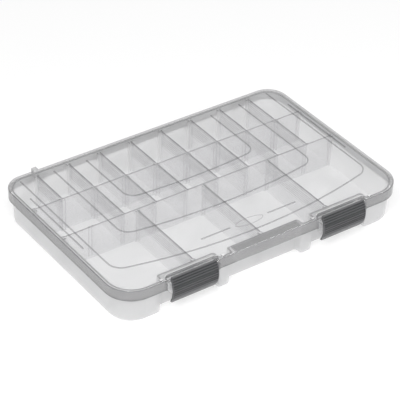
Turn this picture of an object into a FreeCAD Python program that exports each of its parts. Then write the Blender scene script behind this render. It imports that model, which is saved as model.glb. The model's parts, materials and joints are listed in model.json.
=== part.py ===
import FreeCAD, Part
import math
import os

# Flat utility tackle box: a milky tray with loose dividers, a clear lid hinged
# along the back edge, and two snap latches on rods in the lid's front edge.
# Millimetres. X runs along the long side, the latches face -Y, Z is up, and the
# origin is the centre of the flat underside that the box rests on.

# Lid
LID_LENGTH = 356.0
LID_WIDTH = 232.0
BOX_HEIGHT = 43.0
LID_CORNER = 30.0
LID_BACK_CORNER = 23.0
LID_WALL = 1.8
SKIRT_HEIGHT = 12.7
LID_EDGE_ROUND = 1.6
BEAD_WIDTH = 1.5
BEAD_HEIGHT = 0.5
OVAL_WIDTH = 0.9
OVAL_HEIGHT = 0.25
SINK = 0.2

# Tray, measured at its rim
TRAY_LENGTH = 349.4
TRAY_WIDTH = 225.6
TRAY_CORNER = 28.0
TRAY_BACK_CORNER = 21.0
TRAY_WALL = 1.8
TRAY_DRAFT = 2.0
TRAY_FOOT_ROUND = 4.0
RIM_GAP = 0.3
NICHE_HALF = 43.2
NICHE_DEPTH = 8.6
RECESS_INNER = 61.2
RECESS_OUTER = 127.3
RECESS_DEPTH = 9.4
FRONT_CONVEX = 2.8
FRONT_CONCAVE = 3.0

# Long walls and loose dividers
REAR_WALL_Y = 58.2
MIDDLE_WALL_Y = 1.2
LONG_WALL = 1.6
DIVIDER_WALL = 1.5
DIVIDER_BEAD = 2.3
DIVIDER_BEAD_HEIGHT = 1.6
DIVIDER_PLAY = 0.3
LOWER_CHAMFER = 1.8
COLUMN_PITCH = 39.3
COLUMNS = 9
FRONT_PITCH = 83.2
GUIDE_RIB = 1.7
GUIDE_DEPTH = 1.9
GUIDE_DROP = 1.0
SLOT_PLAY = 0.3
GRIP_RIBS = 6
GRIP_PITCH = 2.5
GRIP_FIRST = 4.0
GRIP_HEIGHT = 0.9
GRIP_PROUD = 0.5
GRIP_END = 0.6

# Rear hinge
HINGE_Y = 119.0
HINGE_Z = 32.5
KNUCKLE_RADIUS = 2.8
PIN_RADIUS = 1.4
PIN_PLAY = 0.06
KNUCKLE_GAP = 0.4
KNUCKLE_ARM = 1.6
LUG_LENGTH = 6.0
LUG_TOP = 29.8
LUG_FOOT = 21.3
LONG_PIN = 10.0
TAB_START = 3.0
TAB_END = 3.5
TAB_DROP = 0.3

# Latches
LATCH_X = 93.6
LATCH_HALF = 27.6
NOTCH_HALF = 31.0
NOTCH_Y = -110.0
ROD_Y = -114.9
ROD_Z = 40.0
ROD_RADIUS = 1.5
HOUSING_RIM = 1.0
HOUSING_RISE = 1.3
HOUSING_PROUD = 0.8
EAR_X = 37.2
EAR_HALF = 1.7
EAR_RADIUS = 2.2
CLIP_X = 16.0
CLIP_HALF = 6.0
CLIP_RADIUS = 2.7
CLIP_MOUTH_TOP = 39.1
CLIP_MOUTH_BOTTOM = 36.8
COVER_TOP = 44.3
COVER_BOTTOM = 12.2
COVER_EDGE_Y = -115.7
COVER_BULGE = 5.6
COVER_WALL = 1.6
COVER_CORNER = 4.0
COVER_RIB_END = 1.5
GROOVES = 8
GROOVE_FIRST = 0.84
GROOVE_PITCH = 0.155
GROOVE_RADIUS = 0.85
GROOVE_DEPTH = 0.6
GRIP_BAR_RADIUS = 1.8
GRIP_BAR_PROUD = 0.65
GRIP_BAR_PLACE = -0.44
NOSE_HALF = 20.0
NOSE_BOTTOM = 15.2
NOSE_TOP = 16.9
CATCH_HALF = 22.0
CATCH_BOTTOM = 17.4
CATCH_TOP = 19.4
CATCH_WEB = 1.6
CATCH_WEB_TOP = 26.0
CATCH_Y = -111.0
CATCH_GAP = 0.35

PANEL_Z = BOX_HEIGHT - LID_WALL
SKIRT_Z = BOX_HEIGHT - SKIRT_HEIGHT
RIM_Z = PANEL_Z - RIM_GAP
WALL_TOP = RIM_Z - 0.2
FLOOR_Z = TRAY_WALL
LID_FRONT = -LID_WIDTH / 2
BIG = 500.0


def vec(x, y, z=0.0):
    return FreeCAD.Vector(x, y, z)


def block(x0, x1, y0, y1, z0, z1):
    """Box between two corners, given in any order."""
    low = vec(min(x0, x1), min(y0, y1), min(z0, z1))
    return Part.makeBox(abs(x1 - x0), abs(y1 - y0), abs(z1 - z0), low)


def rod(x0, x1, y, z, radius):
    """Round bar along X."""
    return Part.makeCylinder(radius, x1 - x0, vec(x0, y, z), vec(1, 0, 0))


def outline(corners, z):
    """Closed wire at height z through corners (x, y, radius), each one rounded."""
    count = len(corners)
    joints = []
    for i, (x, y, radius) in enumerate(corners):
        here = vec(x, y, z)
        before = vec(*corners[i - 1][:2], z) - here
        after = vec(*corners[(i + 1) % count][:2], z) - here
        before.normalize()
        after.normalize()
        half = before.getAngle(after) / 2
        middle = before + after
        middle.normalize()
        reach = radius / math.tan(half)
        nose = radius / math.sin(half) - radius
        joints.append((here + before * reach, here + middle * nose, here + after * reach))
    edges = []
    for i, (start, nose, end) in enumerate(joints):
        edges.append(Part.Arc(start, nose, end).toShape())
        edges.append(Part.LineSegment(end, joints[(i + 1) % count][0]).toShape())
    return Part.Wire(edges)


def rounded_box(inset, z0, z1):
    """The lid's plan moved inward by inset, between two heights."""
    x = LID_LENGTH / 2 - inset
    y = LID_WIDTH / 2 - inset
    front = LID_CORNER - inset
    back = LID_BACK_CORNER - inset
    corners = [(-x, -y, front), (x, -y, front), (x, y, back), (-x, y, back)]
    return Part.Face(outline(corners, z0)).extrude(vec(0, 0, z1 - z0))


def tray_section(inset, z):
    """Tray outline moved inward by inset: two latch recesses and the grip niche in front."""
    x = TRAY_LENGTH / 2 - inset
    y = TRAY_WIDTH / 2 - inset
    recess = RECESS_DEPTH - TRAY_WIDTH / 2 + inset
    niche = NICHE_DEPTH - TRAY_WIDTH / 2 + inset
    out = RECESS_OUTER + inset
    inner = RECESS_INNER - inset
    grip = NICHE_HALF + inset
    right = [(grip, niche, FRONT_CONCAVE), (grip, -y, FRONT_CONVEX),
             (inner, -y, FRONT_CONVEX), (inner, recess, FRONT_CONCAVE),
             (out, recess, FRONT_CONCAVE), (out, -y, FRONT_CONVEX)]
    left = [(-px, py, radius) for px, py, radius in reversed(right)]
    corner = TRAY_CORNER - inset
    back = TRAY_BACK_CORNER - inset
    sides = [(x, -y, corner), (x, y, back), (-x, y, back), (-x, -y, corner)]
    return outline(left + right + sides, z)


def tapered_tub(wall, z0, z1, foot):
    """Solid tub between z0 and z1 with drafted walls and a rounded foot."""
    sections = []
    steps = 5
    for i in range(steps):
        angle = math.radians(90.0 * i / (steps - 1))
        rise = foot * (1 - math.cos(angle))
        tuck = foot * (1 - math.sin(angle))
        share = (RIM_Z - z0 - rise) / RIM_Z
        sections.append(tray_section(wall + TRAY_DRAFT * share + tuck, z0 + rise))
    sections.append(tray_section(wall + TRAY_DRAFT * (RIM_Z - z1) / RIM_Z, z1))
    return Part.makeLoft(sections, True, True)


def column_edges():
    """X of the eight cross dividers of a full row."""
    first = -(COLUMNS - 2) / 2 * COLUMN_PITCH
    return [first + COLUMN_PITCH * i for i in range(COLUMNS - 1)]


def front_edges():
    return [-FRONT_PITCH, 0.0, FRONT_PITCH]


def guide_pair(x, face_y, toward):
    """Two upright ribs on a wall face that hold a divider's end between them."""
    inner = DIVIDER_WALL / 2 + SLOT_PLAY
    outer = inner + GUIDE_RIB
    y0 = face_y - toward * SINK
    y1 = face_y + toward * GUIDE_DEPTH
    top = WALL_TOP - GUIDE_DROP
    return [block(x + side * inner, x + side * outer, y0, y1, FLOOR_Z, top)
            for side in (-1, 1)]


def end_guides(side, wall_y):
    """Ribs on a short side of the tray that hold the end of a long wall."""
    inner = LONG_WALL / 2 + SLOT_PLAY
    outer = inner + GUIDE_RIB
    x_face = side * (TRAY_LENGTH / 2 - TRAY_WALL)
    ribs = []
    for way in (-1, 1):
        ribs.append(block(x_face + side * SINK, x_face - side * (GUIDE_DEPTH + TRAY_DRAFT),
                          wall_y + way * inner, wall_y + way * outer,
                          FLOOR_Z - SINK, WALL_TOP - GUIDE_DROP))
    return ribs


def wall_guides(face_y, toward, columns):
    ribs = []
    for x in columns:
        ribs += guide_pair(x, face_y, toward)
    return ribs


def hinge_lugs():
    """Tray side of the hinge: lugs on the back wall with stub pins between them."""
    parts = []
    wall_y = TRAY_WIDTH / 2 - TRAY_DRAFT
    for start, end in base_lug_spans():
        parts.append(rod(start, end, HINGE_Y, HINGE_Z, KNUCKLE_RADIUS))
        profile = Part.makePolygon([vec(start, wall_y, LUG_FOOT),
                                    vec(start, HINGE_Y + KNUCKLE_RADIUS, LUG_TOP),
                                    vec(start, HINGE_Y + KNUCKLE_RADIUS, HINGE_Z),
                                    vec(start, HINGE_Y - KNUCKLE_RADIUS, HINGE_Z),
                                    vec(start, HINGE_Y - KNUCKLE_RADIUS, LUG_TOP),
                                    vec(start, wall_y, LUG_TOP),
                                    vec(start, wall_y, LUG_FOOT)])
        parts.append(Part.Face(profile).extrude(vec(end - start, 0, 0)))
    for start, end in pin_spans():
        parts.append(rod(start, end, HINGE_Y, HINGE_Z, PIN_RADIUS))
    return parts


def knuckle_spans():
    """X ranges of the lid's knuckles: one long one in the middle, a short one each side."""
    return [(-140.0, -128.0), (-56.0, 56.0), (128.0, 140.0)]


def base_lug_spans():
    spans = []
    for start, end in knuckle_spans():
        spans.append((start - KNUCKLE_GAP - LUG_LENGTH, start - KNUCKLE_GAP))
        spans.append((end + KNUCKLE_GAP, end + KNUCKLE_GAP + LUG_LENGTH))
    return spans


def pin_spans():
    """Stub pins reach part of the way into the long knuckle, and right through the short ones."""
    spans = []
    for start, end in knuckle_spans():
        if end - start > 2 * LONG_PIN:
            spans += [(start - 1.0, start + LONG_PIN), (end - LONG_PIN, end + 1.0)]
        else:
            spans.append((start - 1.0, end + 1.0))
    return spans


def catch_rib(center):
    """Ledge in the latch recess; the closed latch's nose stops just in front of and below it."""
    wall_y = RECESS_DEPTH - TRAY_WIDTH / 2 + TRAY_DRAFT
    ledge = block(center - CATCH_HALF, center + CATCH_HALF, wall_y, CATCH_Y,
                  CATCH_BOTTOM, CATCH_TOP)
    half = CATCH_WEB / 2
    webs = [block(center + x - half, center + x + half, wall_y, CATCH_Y + 1.0,
                  CATCH_BOTTOM, CATCH_WEB_TOP)
            for x in (-NOSE_HALF, 0.0, NOSE_HALF)]
    return [ledge] + webs


def base_tray():
    body = tapered_tub(0.0, 0.0, RIM_Z, TRAY_FOOT_ROUND)
    hollow = tapered_tub(TRAY_WALL, FLOOR_Z, RIM_Z + 0.01, TRAY_FOOT_ROUND - TRAY_WALL)
    envelope = body.copy()
    body = body.cut(hollow)
    back_face = TRAY_WIDTH / 2 - TRAY_WALL - TRAY_DRAFT
    ribs = wall_guides(back_face, -1, column_edges())
    into_wall = vec(0, TRAY_DRAFT, 0)
    ribs = [rib.fuse(rib.translated(into_wall)) for rib in ribs]
    fronts = front_faces()
    for x in front_edges():
        pair = guide_pair(x, fronts[x != 0.0], 1)
        ribs += [rib.fuse(rib.translated(-into_wall)) for rib in pair]
    for side in (-1, 1):
        for wall_y in (REAR_WALL_Y, MIDDLE_WALL_Y):
            ribs += end_guides(side, wall_y)
    inside = [rib.common(envelope) for rib in ribs]
    extras = hinge_lugs()
    for center in (-LATCH_X, LATCH_X):
        extras += catch_rib(center)
    return body.multiFuse(inside + extras).removeSplitter()


def front_faces():
    """Inner face of the front wall at floor level: in the grip niche and in a latch recess."""
    inset = TRAY_WALL + TRAY_DRAFT
    return {False: NICHE_DEPTH - TRAY_WIDTH / 2 + inset,
            True: RECESS_DEPTH - TRAY_WIDTH / 2 + inset}


def end_chamfer(plate, edge_filter):
    """Bevel the lower corners that sit in the rounded foot of the tray."""
    edges = [edge for edge in plate.Edges
             if all(abs(v.Z - FLOOR_Z) < 0.01 for v in edge.Vertexes) and edge_filter(edge)]
    return plate.makeChamfer(LOWER_CHAMFER, edges)


def long_wall(wall_y, back_columns, front_columns):
    """Full-length partition with divider guides on both faces."""
    half = TRAY_LENGTH / 2 - TRAY_WALL - TRAY_DRAFT - SLOT_PLAY
    plate = block(-half, half, wall_y - LONG_WALL / 2, wall_y + LONG_WALL / 2, FLOOR_Z, WALL_TOP)
    plate = end_chamfer(plate, lambda edge: edge.BoundBox.XLength < 0.01)
    ribs = wall_guides(wall_y + LONG_WALL / 2, 1, back_columns)
    ribs += wall_guides(wall_y - LONG_WALL / 2, -1, front_columns)
    return plate.multiFuse(ribs).removeSplitter()


def divider(x, y_front, y_back):
    """Removable cross divider with a thickened top edge and fine grip ribs on both faces."""
    half = DIVIDER_WALL / 2
    plate = block(x - half, x + half, y_front, y_back, FLOOR_Z, WALL_TOP)
    plate = end_chamfer(plate, lambda edge: edge.BoundBox.YLength < 0.01)
    inset = GUIDE_DEPTH + GRIP_END
    bead = DIVIDER_BEAD / 2
    parts = [block(x - bead, x + bead, y_front + inset, y_back - inset,
                   WALL_TOP - DIVIDER_BEAD_HEIGHT, WALL_TOP)]
    proud = half + GRIP_PROUD
    for i in range(GRIP_RIBS):
        z = WALL_TOP - GRIP_FIRST - GRIP_PITCH * i
        parts.append(block(x - proud, x + proud, y_front + inset, y_back - inset,
                           z - GRIP_HEIGHT, z))
    return plate.multiFuse(parts).removeSplitter()


def u_face(half_x, front_y, bow_radius, corner, back_y, z):
    """U-shaped panel: straight sides, rounded front corners and a gently bowed front."""
    center = front_y + bow_radius
    drop = math.sqrt((bow_radius - corner) ** 2 - (half_x - corner) ** 2)
    corner_y = center - drop
    lean = math.atan2(half_x - corner, drop)
    touch = vec((half_x - corner) + corner * math.sin(lean), corner_y - corner * math.cos(lean), z)
    mid_angle = (lean + math.pi / 2) / 2
    middle = vec((half_x - corner) + corner * math.sin(mid_angle),
                 corner_y - corner * math.cos(mid_angle), z)
    side = vec(half_x, corner_y, z)
    back = vec(half_x, back_y, z)

    def mirror(point):
        return vec(-point.x, point.y, point.z)

    edges = [Part.Arc(mirror(touch), vec(0, front_y, z), touch).toShape(),
             Part.Arc(touch, middle, side).toShape(),
             Part.LineSegment(side, back).toShape(),
             Part.LineSegment(back, mirror(back)).toShape(),
             Part.LineSegment(mirror(back), mirror(side)).toShape(),
             Part.Arc(mirror(side), mirror(middle), mirror(touch)).toShape()]
    return Part.Face(Part.Wire(edges))


def u_bead(half_x, front_y, bow_radius, corner, back_y):
    """Raised line along a U, open to the back of the lid."""
    z = BOX_HEIGHT - SINK
    half = BEAD_WIDTH / 2
    outer = u_face(half_x + half, front_y - half, bow_radius + half, corner + half, back_y, z)
    inner = u_face(half_x - half, front_y + half, bow_radius - half, corner - half,
                   back_y + 1.0, z)
    return outer.cut(inner).extrude(vec(0, 0, BEAD_HEIGHT + SINK))


def straight_bead(x0, x1, y0, y1):
    """Short raised line, given by the middle of its two ends."""
    half = BEAD_WIDTH / 2
    top = BOX_HEIGHT + BEAD_HEIGHT
    return block(x0 - half, x1 + half, y0 - half, y1 + half, BOX_HEIGHT - SINK, top)


def oval_bead(center_y, half_x, half_y):
    """Plain oval outline at the middle of the lid's front."""
    z = BOX_HEIGHT - SINK
    faces = []
    for grow in (OVAL_WIDTH / 2, -OVAL_WIDTH / 2):
        ring = Part.Ellipse(vec(0, center_y, z), half_x + grow, half_y + grow)
        faces.append(Part.Face(Part.Wire([ring.toShape()])))
    return faces[0].cut(faces[1]).extrude(vec(0, 0, OVAL_HEIGHT + SINK))


def lid_beads():
    """Embossed lines: three nested U shapes, an oval and four short strokes."""
    beads = [u_bead(159.6, -95.4, 620.0, 16.0, 104.6),
             u_bead(120.1, -40.4, 700.0, 14.0, 102.8),
             u_bead(80.9, 15.0, 700.0, 13.0, 101.0),
             oval_bead(-80.5, 17.0, 5.0)]
    for side in (-1, 1):
        beads.append(straight_bead(side * 166.6, side * 166.6, -28.0, 72.4))
        ends = sorted([side * 24.6, side * 58.6])
        beads.append(straight_bead(ends[0], ends[1], -80.0, -80.0))
    return beads


def notch_face(half, back_y, z, corner):
    """Plan of a latch notch, open to the front, with rounded back corners."""
    front = LID_FRONT - 20.0
    corners = [(-half, front, 0.5), (half, front, 0.5),
               (half, back_y, corner), (-half, back_y, corner)]
    return Part.Face(outline(corners, z))


def latch_housing(center):
    """Notch, raised rim, curved cheeks and pivot rod for one latch."""
    rim_top = BOX_HEIGHT + HOUSING_RISE
    back = NOTCH_Y + HOUSING_RIM
    front = LID_FRONT - HOUSING_PROUD
    shoulder = vec(-BIG / 2, NOTCH_Y - 0.6, rim_top)
    hip = vec(-BIG / 2, front, SKIRT_Z + 4.0)
    bend = vec(-BIG / 2, front + 1.9, rim_top - 3.4)
    foot = vec(-BIG / 2, front, SKIRT_Z)
    heel = vec(-BIG / 2, back, SKIRT_Z)
    crown = vec(-BIG / 2, back, rim_top)
    profile = Part.Wire([Part.Arc(shoulder, bend, hip).toShape(),
                         Part.makePolygon([hip, foot, heel, crown, shoulder])])
    wedge = Part.Face(profile).extrude(vec(BIG, 0, 0))
    half = NOTCH_HALF + HOUSING_RIM
    wide = notch_face(half, back, SKIRT_Z, 5.0)
    cheeks = wide.extrude(vec(0, 0, rim_top - SKIRT_Z)).common(wedge)
    notch = notch_face(NOTCH_HALF, NOTCH_Y, 0.0, 3.3).extrude(vec(0, 0, BIG))
    under = block(-half - 1.0, half + 1.0, NOTCH_Y - 0.01, back + 1.0,
                  SKIRT_Z - 1.0, PANEL_Z - 1.4)
    cheeks = cheeks.cut(under)
    above_panel = block(-BIG, BIG, -BIG, BIG, PANEL_Z + 0.1, BIG)
    ears = []
    for x in (-EAR_X, EAR_X):
        ear = rod(x - EAR_HALF, x + EAR_HALF, LID_FRONT + 2.9, BOX_HEIGHT - 0.9, EAR_RADIUS)
        ears.append(ear.common(above_panel))
    bar = rod(-NOTCH_HALF - 0.5, NOTCH_HALF + 0.5, ROD_Y, ROD_Z, ROD_RADIUS)
    shift = vec(center, 0, 0)
    add = [shape.translated(shift) for shape in [cheeks] + ears]
    return add, notch.translated(shift), bar.translated(shift)


def lid_knuckles():
    """Lid side of the hinge: barrels carried on the back skirt, and one lifting tab."""
    parts = []
    for start, end in knuckle_spans():
        parts.append(rod(start, end, HINGE_Y, HINGE_Z, KNUCKLE_RADIUS))
        parts.append(block(start, end, LID_WIDTH / 2 - 1.0, HINGE_Y,
                           HINGE_Z - KNUCKLE_ARM, HINGE_Z + KNUCKLE_RADIUS))
    start, end = knuckle_spans()[0]
    parts.append(block(start + TAB_START, end - TAB_END, LID_WIDTH / 2 - 1.0, HINGE_Y + 2.0,
                       HINGE_Z, BOX_HEIGHT - TAB_DROP))
    return parts


def lid():
    outer = rounded_box(0.0, SKIRT_Z, BOX_HEIGHT)
    top_edges = [edge for edge in outer.Edges
                 if all(abs(v.Z - BOX_HEIGHT) < 0.01 for v in edge.Vertexes)]
    outer = outer.makeFillet(LID_EDGE_ROUND, top_edges)
    inner = rounded_box(LID_WALL, SKIRT_Z - 1.0, PANEL_Z)
    shell = outer.cut(inner)
    adds = lid_beads() + lid_knuckles()
    notches = []
    bars = []
    for center in (-LATCH_X, LATCH_X):
        add, notch, bar = latch_housing(center)
        adds += add
        notches.append(notch)
        bars.append(bar)
    shell = shell.multiFuse(adds)
    for notch in notches:
        shell = shell.cut(notch)
    shell = shell.multiFuse(bars)
    for start, end in knuckle_spans():
        shell = shell.cut(rod(start - 0.01, end + 0.01, HINGE_Y, HINGE_Z, PIN_RADIUS + PIN_PLAY))
    return shell.removeSplitter()


def cover_arc(radius, center_y, center_z, half_angle):
    """Three points on the cover's arc, from its top edge to its bottom edge."""
    points = []
    for angle in (half_angle, 0.0, -half_angle):
        points.append(vec(0, center_y - radius * math.cos(angle),
                          center_z + radius * math.sin(angle)))
    return points


def latch(center):
    """Curved cover with two clips that snap on the lid's rod and a nose at the bottom."""
    half_chord = (COVER_TOP - COVER_BOTTOM) / 2
    radius = (half_chord ** 2 + COVER_BULGE ** 2) / (2 * COVER_BULGE)
    middle_z = (COVER_TOP + COVER_BOTTOM) / 2
    middle_y = COVER_EDGE_Y - COVER_BULGE + radius
    half_angle = math.asin(half_chord / radius)
    outer = cover_arc(radius, middle_y, middle_z, half_angle)
    inner = cover_arc(radius - COVER_WALL, middle_y, middle_z, half_angle)
    section = Part.Wire([Part.Arc(*outer).toShape(),
                         Part.LineSegment(outer[2], inner[2]).toShape(),
                         Part.Arc(inner[2], inner[1], inner[0]).toShape(),
                         Part.LineSegment(inner[0], outer[0]).toShape()])
    cover = Part.Face(section).extrude(vec(2 * LATCH_HALF, 0, 0))
    cover.translate(vec(-LATCH_HALF, 0, 0))

    def lengthwise(share, rod_radius, proud):
        """Rod along the cover that stands proud of its outer face, placed by share of the arc."""
        reach = radius + proud - rod_radius
        angle = half_angle * share
        return rod(-LATCH_HALF + COVER_RIB_END, LATCH_HALF - COVER_RIB_END,
                   middle_y - reach * math.cos(angle), middle_z + reach * math.sin(angle),
                   rod_radius)

    grip_bar = lengthwise(GRIP_BAR_PLACE, GRIP_BAR_RADIUS, GRIP_BAR_PROUD)
    hollow = rod(-BIG, BIG, middle_y, middle_z, radius - COVER_WALL / 2)
    cover = cover.fuse(grip_bar.cut(hollow))
    cover = cover.common(rounded_front(LATCH_HALF, COVER_BOTTOM, COVER_TOP, COVER_CORNER))
    inside = rod(-BIG, BIG, middle_y, middle_z, radius)
    clips = []
    for x in (-CLIP_X, CLIP_X):
        ring = rod(x - CLIP_HALF, x + CLIP_HALF, ROD_Y, ROD_Z, CLIP_RADIUS)
        web = block(x - CLIP_HALF, x + CLIP_HALF, ROD_Y - 3.6, ROD_Y, ROD_Z - 2.2, ROD_Z + 1.2)
        clips.append(ring.fuse(web.common(inside)))
    nose = block(-NOSE_HALF, NOSE_HALF, COVER_EDGE_Y - COVER_BULGE, CATCH_Y - CATCH_GAP,
                 NOSE_BOTTOM, NOSE_TOP)
    body = cover.multiFuse(clips + [nose.common(inside)])
    body = body.cut(rod(-BIG, BIG, ROD_Y, ROD_Z, ROD_RADIUS + PIN_PLAY))
    body = body.cut(block(-BIG, BIG, ROD_Y, ROD_Y + 4.0, CLIP_MOUTH_BOTTOM, CLIP_MOUTH_TOP))
    for i in range(GROOVES):
        share = GROOVE_FIRST - GROOVE_PITCH * i
        body = body.cut(lengthwise(share, GROOVE_RADIUS, 2 * GROOVE_RADIUS - GROOVE_DEPTH))
    return body.removeSplitter().translated(vec(center, 0, 0))


def rounded_front(half, z0, z1, radius):
    """Front view of the cover with rounded corners, as a solid along Y."""
    corners = [(-half, z0, radius), (half, z0, radius), (half, z1, radius), (-half, z1, radius)]
    face = Part.Face(outline(corners, 0.0))
    solid = face.extrude(vec(0, 0, 60.0))
    solid.rotate(vec(0, 0, 0), vec(1, 0, 0), 90)
    solid.translate(vec(0, -80.0, 0))
    return solid


def dividers():
    nodes = {}
    columns = column_edges()
    half = LONG_WALL / 2 + DIVIDER_PLAY
    back_face = TRAY_WIDTH / 2 - TRAY_WALL - TRAY_DRAFT - DIVIDER_PLAY
    for i, x in enumerate(columns):
        nodes["divider_back_%d" % (i + 1)] = divider(x, REAR_WALL_Y + half, back_face)
    low = MIDDLE_WALL_Y + half
    high = REAR_WALL_Y - half
    for i, x in enumerate(columns[1:]):
        nodes["divider_middle_%d" % (i + 1)] = divider(x, low, high)
    fronts = front_faces()
    for i, x in enumerate(front_edges()):
        front = fronts[x != 0.0] + DIVIDER_PLAY
        nodes["divider_front_%d" % (i + 1)] = divider(x, front, MIDDLE_WALL_Y - half)
    return nodes


def build():
    nodes = {"base_tray": base_tray(),
             "lid": lid(),
             "latch_left": latch(-LATCH_X),
             "latch_right": latch(LATCH_X),
             "long_wall_rear": long_wall(REAR_WALL_Y, column_edges(), column_edges()),
             "long_wall_front": long_wall(MIDDLE_WALL_Y, column_edges(), front_edges())}
    nodes.update(dividers())
    return nodes


os.makedirs("parts", exist_ok=True)
for name, shape in build().items():
    shape.exportStep("parts/%s.step" % name)
    box = shape.optimalBoundingBox()
    print("%-18s solids %d valid %s volume %.0f  x %.1f..%.1f  y %.1f..%.1f  z %.1f..%.1f"
          % (name, len(shape.Solids), shape.isValid(), shape.Volume,
             box.XMin, box.XMax, box.YMin, box.YMax, box.ZMin, box.ZMax))
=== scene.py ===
import json
import math

import bpy
from mathutils import Matrix, Vector


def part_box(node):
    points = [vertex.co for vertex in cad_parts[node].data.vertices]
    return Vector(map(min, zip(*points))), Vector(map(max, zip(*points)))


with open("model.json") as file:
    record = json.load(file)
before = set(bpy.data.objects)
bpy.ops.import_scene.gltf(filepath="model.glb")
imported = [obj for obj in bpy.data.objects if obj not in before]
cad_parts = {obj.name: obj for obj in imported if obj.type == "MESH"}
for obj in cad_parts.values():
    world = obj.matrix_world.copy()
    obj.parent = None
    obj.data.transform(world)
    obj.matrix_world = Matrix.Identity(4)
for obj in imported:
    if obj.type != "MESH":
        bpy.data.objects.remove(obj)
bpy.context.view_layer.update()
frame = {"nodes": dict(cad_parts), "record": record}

# Fishing tackle box: milky tray and dividers, clear lid, two dark latches.
# Metres, in the CAD model's own frame. Every visible piece is a CAD node, which
# gets a procedural plastic here, and the scene adds a floor, lights and a camera.

# Camera, as an orbit round a point on the lid, with angles in degrees
CAMERA_AZIMUTH = -36.22
CAMERA_ELEVATION = 35.46
CAMERA_ROLL = 1.89
CAMERA_DISTANCE = 1.9333
CAMERA_TARGET = Vector((-0.02112, -0.02345, 0.043))
CAMERA_LENS = 168.6
SENSOR_WIDTH = 36.0

# Lights and floor
WORLD_STRENGTH = 0.5
KEY_PLACE = (-1.0, -1.0, 1.7)
KEY_SIZE = 1.0
KEY_POWER = 34.0
FILL_PLACE = (0.96, -1.33, 1.15)
FILL_SIZE = 0.5
FILL_POWER = 8.0
LIGHT_AIM = Vector((0, 0, 0.02))
FLOOR_HALF = 6.0
FLOOR_DROP = 0.0002
FLOOR_GREY = (0.5, 0.5, 0.5, 1)
FLOOR_GLOW = 0.5
WHITE = (1, 1, 1, 1)

# A line of sight crosses both faces of the lid, walls, dividers and tray in turn
TRANSPARENT_BOUNCES = 32

# Plastics, as linear colours
TRAY_LIGHT = (0.88, 0.88, 0.882, 1)
TRAY_DARK = (0.81, 0.81, 0.813, 1)
MILKY_LIGHT = (0.94, 0.94, 0.942, 1)
MILKY_DARK = (0.88, 0.88, 0.883, 1)
MILKY_CLEAR = (0.98, 0.98, 0.982, 1)
# Painted shade: grey for the milky pieces' top edges and grip-rib ledges
MILKY_EDGE_SHADE = (0.50, 0.50, 0.505, 1)
MILKY_RIB = (0.92, 0.92, 0.923, 1)
LID_FLAT = (0.98, 0.98, 0.981, 1)
# Painted shade: what the lid's upright walls let through
LID_WALL_SHADE = (0.78, 0.78, 0.784, 1)
# Painted shade: what the lid lets through over the shaded finger niche
LID_NICHE_SHADE = (0.76, 0.76, 0.763, 1)
# Painted shade: darker haze colour of the upright walls and of the patch over the finger niche
LID_SHADED_HAZE = (0.38, 0.38, 0.383, 1)
# Painted shade: what the lid's beads and rounded edges let through
LID_LINE_SHADE = (0.66, 0.66, 0.664, 1)
# Painted shade: darkest lid tint, for edge-on walls, beads, rounded edges and the skirt's lower
# edge
LID_RIM_SHADE = (0.34, 0.34, 0.345, 1)
LATCH_LIGHT = (0.035, 0.036, 0.038, 1)
LATCH_DARK = (0.018, 0.019, 0.021, 1)
# Painted highlight: lighter grey for the crests of the latch's grooves
LATCH_RIDGE_HIGHLIGHT = (0.085, 0.086, 0.09, 1)
PLASTIC_IOR = 1.49
LATCH_IOR = 1.5
GLOSS_IOR = 1.45

# Heights in the CAD model. The lid's hinge knuckles reach 0.6 mm lower than its skirt.
DIVIDER_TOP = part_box("divider_back_1")[1][2]
LID_TOP = DIVIDER_TOP + 0.0023
SKIRT_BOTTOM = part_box("lid")[0][2] + 0.0006

# Plan of the finger niche in the tray's front, from the record
NICHE = next(opening["box_m"] for opening in frame["record"]["physics"]["openings"]
             if opening["name"] == "grip_niche")


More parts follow.
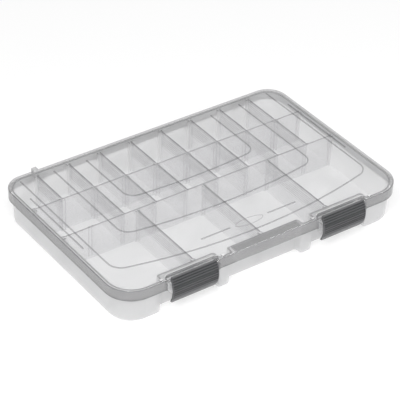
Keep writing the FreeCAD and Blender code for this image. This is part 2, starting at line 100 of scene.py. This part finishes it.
class Net:
    """A material's node tree, built by name."""

    def __init__(self, name):
        self.material = bpy.data.materials.new(name)
        self.material.use_nodes = True
        self.tree = self.material.node_tree
        self.tree.nodes.clear()

    def add(self, kind, inputs=None, **settings):
        """New node. An input's value is a number, a colour or another node's output."""
        node = self.tree.nodes.new("ShaderNode" + kind)
        for key, value in settings.items():
            setattr(node, key, value)
        for key, value in (inputs or {}).items():
            if isinstance(value, bpy.types.NodeSocket):
                self.tree.links.new(value, node.inputs[key])
            else:
                node.inputs[key].default_value = value
        return node

    def coordinates(self, kind="Object"):
        return self.add("TexCoord").outputs[kind]

    def place(self, axis, kind="Object"):
        """Coordinate along one axis."""
        return self.add("SeparateXYZ", {0: self.coordinates(kind)}).outputs[axis]

    def noise(self, scale, detail=2.0, stretch=(1, 1, 1)):
        place = self.add("Mapping", {"Vector": self.coordinates(), "Scale": stretch})
        texture = self.add("TexNoise", {"Vector": place.outputs[0], "Scale": scale,
                                        "Detail": detail})
        return texture.outputs["Fac"]

    def spread(self, value, low, high, start=0.3, end=0.7):
        """value, remapped from start..end to low..high."""
        node = self.add("MapRange", {"Value": value, "From Min": start, "From Max": end,
                                     "To Min": low, "To Max": high})
        return node.outputs[0]

    def share(self, value, start=0.3, end=0.7):
        """0 up to start, 1 from end on."""
        return self.spread(value, 0.0, 1.0, start, end)

    def blend(self, value, first, second):
        """Colour between first and second."""
        node = self.add("Mix", {0: value, 6: first, 7: second}, data_type="RGBA")
        return node.outputs[2]

    def math(self, operation, first, second=0.0):
        return self.add("Math", {0: first, 1: second}, operation=operation).outputs[0]

    def levelness(self):
        """1 on flat faces, 0 on upright ones."""
        return self.math("ABSOLUTE", self.place("Z", "Normal"))

    def above(self, level, soft=0.0003):
        """0 below a height, 1 above it."""
        return self.share(self.place("Z"), level - soft, level)

    def inside(self, axis, low, high, soft=0.0003):
        """1 between two places along an axis, 0 outside them."""
        place = self.place(axis)
        after = self.share(place, low - soft, low)
        before = self.spread(place, 1.0, 0.0, high, high + soft)
        return self.math("MULTIPLY", after, before)

    def proud(self, axis, start, soft=0.03):
        """1 where a thin piece stands proud of its own plate, as on its ribs.

        start is how far from the piece's middle its ribs begin, as a share of its thickness."""
        place = self.place(axis, "Generated")
        off = self.math("ABSOLUTE", self.math("SUBTRACT", place, 0.5))
        return self.share(off, start, start + soft)

    def grazing(self, start, end):
        """0 where a face is seen squarely, 1 where it is seen edge on."""
        weight = self.add("LayerWeight", {"Blend": 0.5}).outputs["Facing"]
        return self.share(weight, start, end)

    def outer_fresnel(self):
        """Mirror share of the outer faces. The faces inside a wall have none."""
        fresnel = self.add("Fresnel", {"IOR": GLOSS_IOR}).outputs[0]
        inside = self.add("NewGeometry").outputs["Backfacing"]
        return self.math("MULTIPLY", fresnel, self.math("SUBTRACT", 1.0, inside))

    def bump(self, height, strength, distance):
        node = self.add("Bump", {"Height": height, "Strength": strength, "Distance": distance})
        return node.outputs[0]

    def mix(self, share, first, second):
        node = self.add("MixShader", {0: share, 1: first, 2: second})
        return node.outputs[0]

    def finish(self, shader):
        out = self.add("OutputMaterial", {"Surface": shader})
        out.is_active_output = True
        return self.material


# Milky plastic: how much of it is solid, and across which axis and how far out its ribs begin
TRAY_OPACITY = 0.42
WALL_OPACITY = 0.22
DIVIDER_OPACITY = 0.16
OPACITY_SPREAD = 0.03
WALL_RIBS = ("Y", 0.18)
DIVIDER_RIBS = ("X", 0.33)
TOP_DEPTH = 0.002
RIDGE_DEPTH = 0.016
# How much painted shade the grip-rib ledges get
RIDGE_SHADE = 0.24
FACING_UP = (0.4, 0.8)
GLOW_SHARE = 0.5
CLOUD = (28.0, 3.0)
SATIN_SCALE = 160.0
SATIN_ROUGHNESS = (0.28, 0.42)
GRAIN_SCALE = 900.0
GRAIN_BUMP = (0.08, 0.0002)


def milky_edge_shade(net):
    """Painted shade: 1 on top edges, and a little on the level faces of the grip ribs just
    below them.
    """
    level = net.levelness()
    top = net.math("MULTIPLY", net.above(DIVIDER_TOP - TOP_DEPTH), net.share(level, *FACING_UP))
    ridge = net.math("MULTIPLY", net.above(DIVIDER_TOP - RIDGE_DEPTH),
                     net.spread(level, 0.0, RIDGE_SHADE, *FACING_UP))
    return net.math("MAXIMUM", top, ridge)


def milky_plastic(name, light, dark, opacity, ribs=None):
    """Natural polypropylene: satin, cloudy, and lit from behind as much as from in front."""
    net = Net(name)
    cloud = net.noise(*CLOUD)
    edge = milky_edge_shade(net)
    colour = net.blend(net.share(cloud), light, dark)
    clear_tint = MILKY_CLEAR
    if ribs:
        rib = net.proud(*ribs)
        colour = net.blend(rib, colour, MILKY_RIB)
        clear_tint = net.blend(rib, MILKY_CLEAR, MILKY_RIB)
    # Painted shade darkens top edges and rib ledges, in colour and in what shows through
    colour = net.blend(edge, colour, MILKY_EDGE_SHADE)
    grain = net.bump(net.noise(GRAIN_SCALE), *GRAIN_BUMP)
    satin = net.spread(net.noise(SATIN_SCALE), *SATIN_ROUGHNESS)
    body = net.add("BsdfPrincipled", {"Base Color": colour, "IOR": PLASTIC_IOR,
                                      "Normal": grain, "Roughness": satin})
    glow = net.add("BsdfTranslucent", {"Color": colour, "Normal": grain})
    solid = net.mix(GLOW_SHARE, body.outputs[0], glow.outputs[0])
    clear = net.add("BsdfTransparent", {"Color": net.blend(edge, clear_tint, MILKY_EDGE_SHADE)})
    share = net.spread(cloud, opacity - OPACITY_SPREAD, opacity + OPACITY_SPREAD)
    return net.finish(net.mix(share, clear.outputs[0], solid))


# Clear plastic: heights over the lid's panel, the painted shadow line along the skirt's lower
# edge, and how much haze its walls, its painted-shade niche patch and the crests of its latch
# rims have
BEAD_LEVEL = 0.0004
CREST_LEVEL = 0.0010
SKIRT_LINE = (0.0006, 0.0009)
NICHE_MARGIN = 0.002
WALL_FACING = (0.1, 0.9)
ROUNDED_FACING = (0.03, 0.2)
EDGE_ON = (0.48, 0.95)
WALL_HAZE = (0.05, 0.38)
# How much painted shade haze the lid gets over the finger niche
NICHE_SHADE_HAZE = 0.35
CREST_HAZE = 0.6
SWIRL = (14.0, 4.0, (1, 2.5, 1))
HAZE_SCALE = 90.0
HAZE_ROUGHNESS = (0.12, 0.22)
GLOSS_ROUGHNESS = 0.08


def niche_shade_patch(net):
    """1 on the part of the lid over the finger niche, where painted shade greys the lid."""
    across = net.inside("X", NICHE[0][0] - NICHE_MARGIN, NICHE[1][0] + NICHE_MARGIN)
    return net.math("MULTIPLY", across, net.inside("Y", NICHE[0][1], NICHE[1][1]))


def clear_plastic(name):
    """Clear lid: see-through when flat, with painted shade greying its upright walls, raised
    lines, skirt's lower edge and the patch over the finger niche.
    """
    net = Net(name)
    level = net.levelness()
    wall = net.spread(level, 1.0, 0.0, *WALL_FACING)
    rounded = net.share(net.math("MULTIPLY", level, wall), *ROUNDED_FACING)
    crest = net.above(LID_TOP + CREST_LEVEL)
    bead = net.math("SUBTRACT", net.above(LID_TOP + BEAD_LEVEL), crest)
    # Painted shade along the raised beads and rounded edges
    shaded_line = net.math("MAXIMUM", bead, rounded)
    niche_shade = niche_shade_patch(net)

    # Painted shadow: a dark band just above the skirt's lower edge
    low = net.spread(net.place("Z"), 1.0, 0.0, *(SKIRT_BOTTOM + rise for rise in SKIRT_LINE))
    # Darker where walls and raised lines are seen edge on: partly the longer path through the
    # plastic, partly painted shade
    edge = net.math("MULTIPLY", net.grazing(*EDGE_ON), net.math("MAXIMUM", wall, shaded_line))
    # Painted shade: upright walls let through less light than the flat panel
    tint = net.blend(wall, LID_FLAT, LID_WALL_SHADE)
    tint = net.blend(shaded_line, tint, LID_LINE_SHADE)
    tint = net.blend(net.math("MAXIMUM", edge, low), tint, LID_RIM_SHADE)
    # Painted shade over the finger niche, where the wall behind lies in the lid's shadow
    tint = net.blend(niche_shade, tint, LID_NICHE_SHADE)
    clear = net.add("BsdfTransparent", {"Color": tint})

    colour = net.blend(net.share(net.noise(*SWIRL)), MILKY_LIGHT, MILKY_DARK)
    # Painted shade: darker haze on upright walls and over the finger niche
    colour = net.blend(net.math("MAXIMUM", wall, niche_shade), colour, LID_SHADED_HAZE)
    # Painted shade: dark haze colour on the beads and rounded edges
    colour = net.blend(shaded_line, colour, LID_RIM_SHADE)
    satin = net.spread(net.noise(HAZE_SCALE), *HAZE_ROUGHNESS)
    haze = net.add("BsdfPrincipled", {"Base Color": colour, "IOR": PLASTIC_IOR,
                                      "Roughness": satin})
    share = net.math("MAXIMUM", net.spread(wall, *WALL_HAZE, 0.0, 1.0),
                     net.math("MULTIPLY", niche_shade, NICHE_SHADE_HAZE))
    share = net.math("MAXIMUM", share, net.math("MULTIPLY", crest, CREST_HAZE))
    body = net.mix(share, clear.outputs[0], haze.outputs[0])
    gloss = net.add("BsdfGlossy", {"Roughness": GLOSS_ROUGHNESS, "Color": WHITE})
    return net.finish(net.mix(net.outer_fresnel(), body, gloss.outputs[0]))


# Latch plastic. Pointiness is 0.5 on a flat face and rises on a ridge.
FLECK = (45.0, 4.0)
HIGHLIGHT_POINTINESS = (0.5, 0.56)
SPARK_SCALE = 2600.0
SPARK_BUMP = (0.25, 0.0001)
LATCH_SCALE = 300.0
LATCH_ROUGHNESS = (0.28, 0.4)


def latch_plastic(name):
    """Dark grey moulded plastic with a fine spark texture, and a painted highlight on its
    ridges.
    """
    net = Net(name)
    colour = net.blend(net.share(net.noise(*FLECK)), LATCH_DARK, LATCH_LIGHT)
    bend = net.add("NewGeometry").outputs["Pointiness"]
    # Painted highlight: lighter colour where pointiness rises, on the groove crests
    colour = net.blend(net.share(bend, *HIGHLIGHT_POINTINESS), colour, LATCH_RIDGE_HIGHLIGHT)
    grain = net.bump(net.noise(SPARK_SCALE), *SPARK_BUMP)
    satin = net.spread(net.noise(LATCH_SCALE), *LATCH_ROUGHNESS)
    body = net.add("BsdfPrincipled", {"Base Color": colour, "Normal": grain,
                                      "IOR": LATCH_IOR, "Roughness": satin})
    return net.finish(body.outputs[0])


def dress(material, *nodes):
    for node in nodes:
        slots = frame["nodes"][node].data.materials
        slots.clear()
        slots.append(material)


def dress_nodes():
    dress(milky_plastic("tray_plastic", TRAY_LIGHT, TRAY_DARK, TRAY_OPACITY), "base_tray")
    dress(milky_plastic("long_wall_plastic", MILKY_LIGHT, MILKY_DARK, WALL_OPACITY, WALL_RIBS),
          "long_wall_rear", "long_wall_front")
    dividers = [node for node in frame["nodes"] if node.startswith("divider_")]
    dress(milky_plastic("divider_plastic", MILKY_LIGHT, MILKY_DARK, DIVIDER_OPACITY,
                        DIVIDER_RIBS), *dividers)
    dress(clear_plastic("lid_plastic"), "lid")
    dress(latch_plastic("latch_plastic"), "latch_left", "latch_right")


def floor():
    """Plain white floor that keeps its own brightness under the box."""
    mesh = bpy.data.meshes.new("floor")
    corners = [(-FLOOR_HALF, -FLOOR_HALF, 0), (FLOOR_HALF, -FLOOR_HALF, 0),
               (FLOOR_HALF, FLOOR_HALF, 0), (-FLOOR_HALF, FLOOR_HALF, 0)]
    mesh.from_pydata(corners, [], [(0, 1, 2, 3)])
    plane = bpy.data.objects.new("floor", mesh)
    plane.location.z = -FLOOR_DROP
    bpy.context.scene.collection.objects.link(plane)
    net = Net("floor_white")
    paint = net.add("BsdfPrincipled", {"Base Color": FLOOR_GREY, "Roughness": 0.9,
                                       "Emission Color": WHITE,
                                       "Emission Strength": FLOOR_GLOW})
    mesh.materials.append(net.finish(paint.outputs[0]))


def softbox(name, place, size, power):
    """Square area light that points at the middle of the box."""
    lamp = bpy.data.lights.new(name, "AREA")
    lamp.shape = "SQUARE"
    lamp.size = size
    lamp.energy = power
    holder = bpy.data.objects.new(name, lamp)
    holder.location = place
    toward = LIGHT_AIM - Vector(place)
    holder.rotation_euler = toward.to_track_quat("-Z", "Y").to_euler()
    bpy.context.scene.collection.objects.link(holder)


def lights():
    world = bpy.data.worlds.new("studio")
    world.use_nodes = True
    background = world.node_tree.nodes["Background"]
    background.inputs["Color"].default_value = WHITE
    background.inputs["Strength"].default_value = WORLD_STRENGTH
    bpy.context.scene.world = world
    softbox("key_light", KEY_PLACE, KEY_SIZE, KEY_POWER)
    softbox("fill_light", FILL_PLACE, FILL_SIZE, FILL_POWER)


def camera():
    """Orbit camera with a small roll."""
    azimuth = math.radians(CAMERA_AZIMUTH)
    elevation = math.radians(CAMERA_ELEVATION)
    roll = math.radians(CAMERA_ROLL)
    back = Vector((math.sin(azimuth) * math.cos(elevation),
                   -math.cos(azimuth) * math.cos(elevation), math.sin(elevation)))
    level = Vector((math.cos(azimuth), math.sin(azimuth), 0))
    rise = back.cross(level)
    right = level * math.cos(roll) + rise * math.sin(roll)
    up = rise * math.cos(roll) - level * math.sin(roll)
    lens = bpy.data.cameras.new("camera")
    lens.lens = CAMERA_LENS
    lens.sensor_width = SENSOR_WIDTH
    holder = bpy.data.objects.new("camera", lens)
    turn = Matrix((right, up, back)).transposed().to_4x4()
    holder.matrix_world = Matrix.Translation(CAMERA_TARGET + back * CAMERA_DISTANCE) @ turn
    bpy.context.scene.collection.objects.link(holder)
    bpy.context.scene.camera = holder


camera()
lights()
floor()
dress_nodes()
bpy.context.scene.view_settings.view_transform = "Standard"
bpy.context.scene.cycles.transparent_max_bounces = TRANSPARENT_BOUNCES
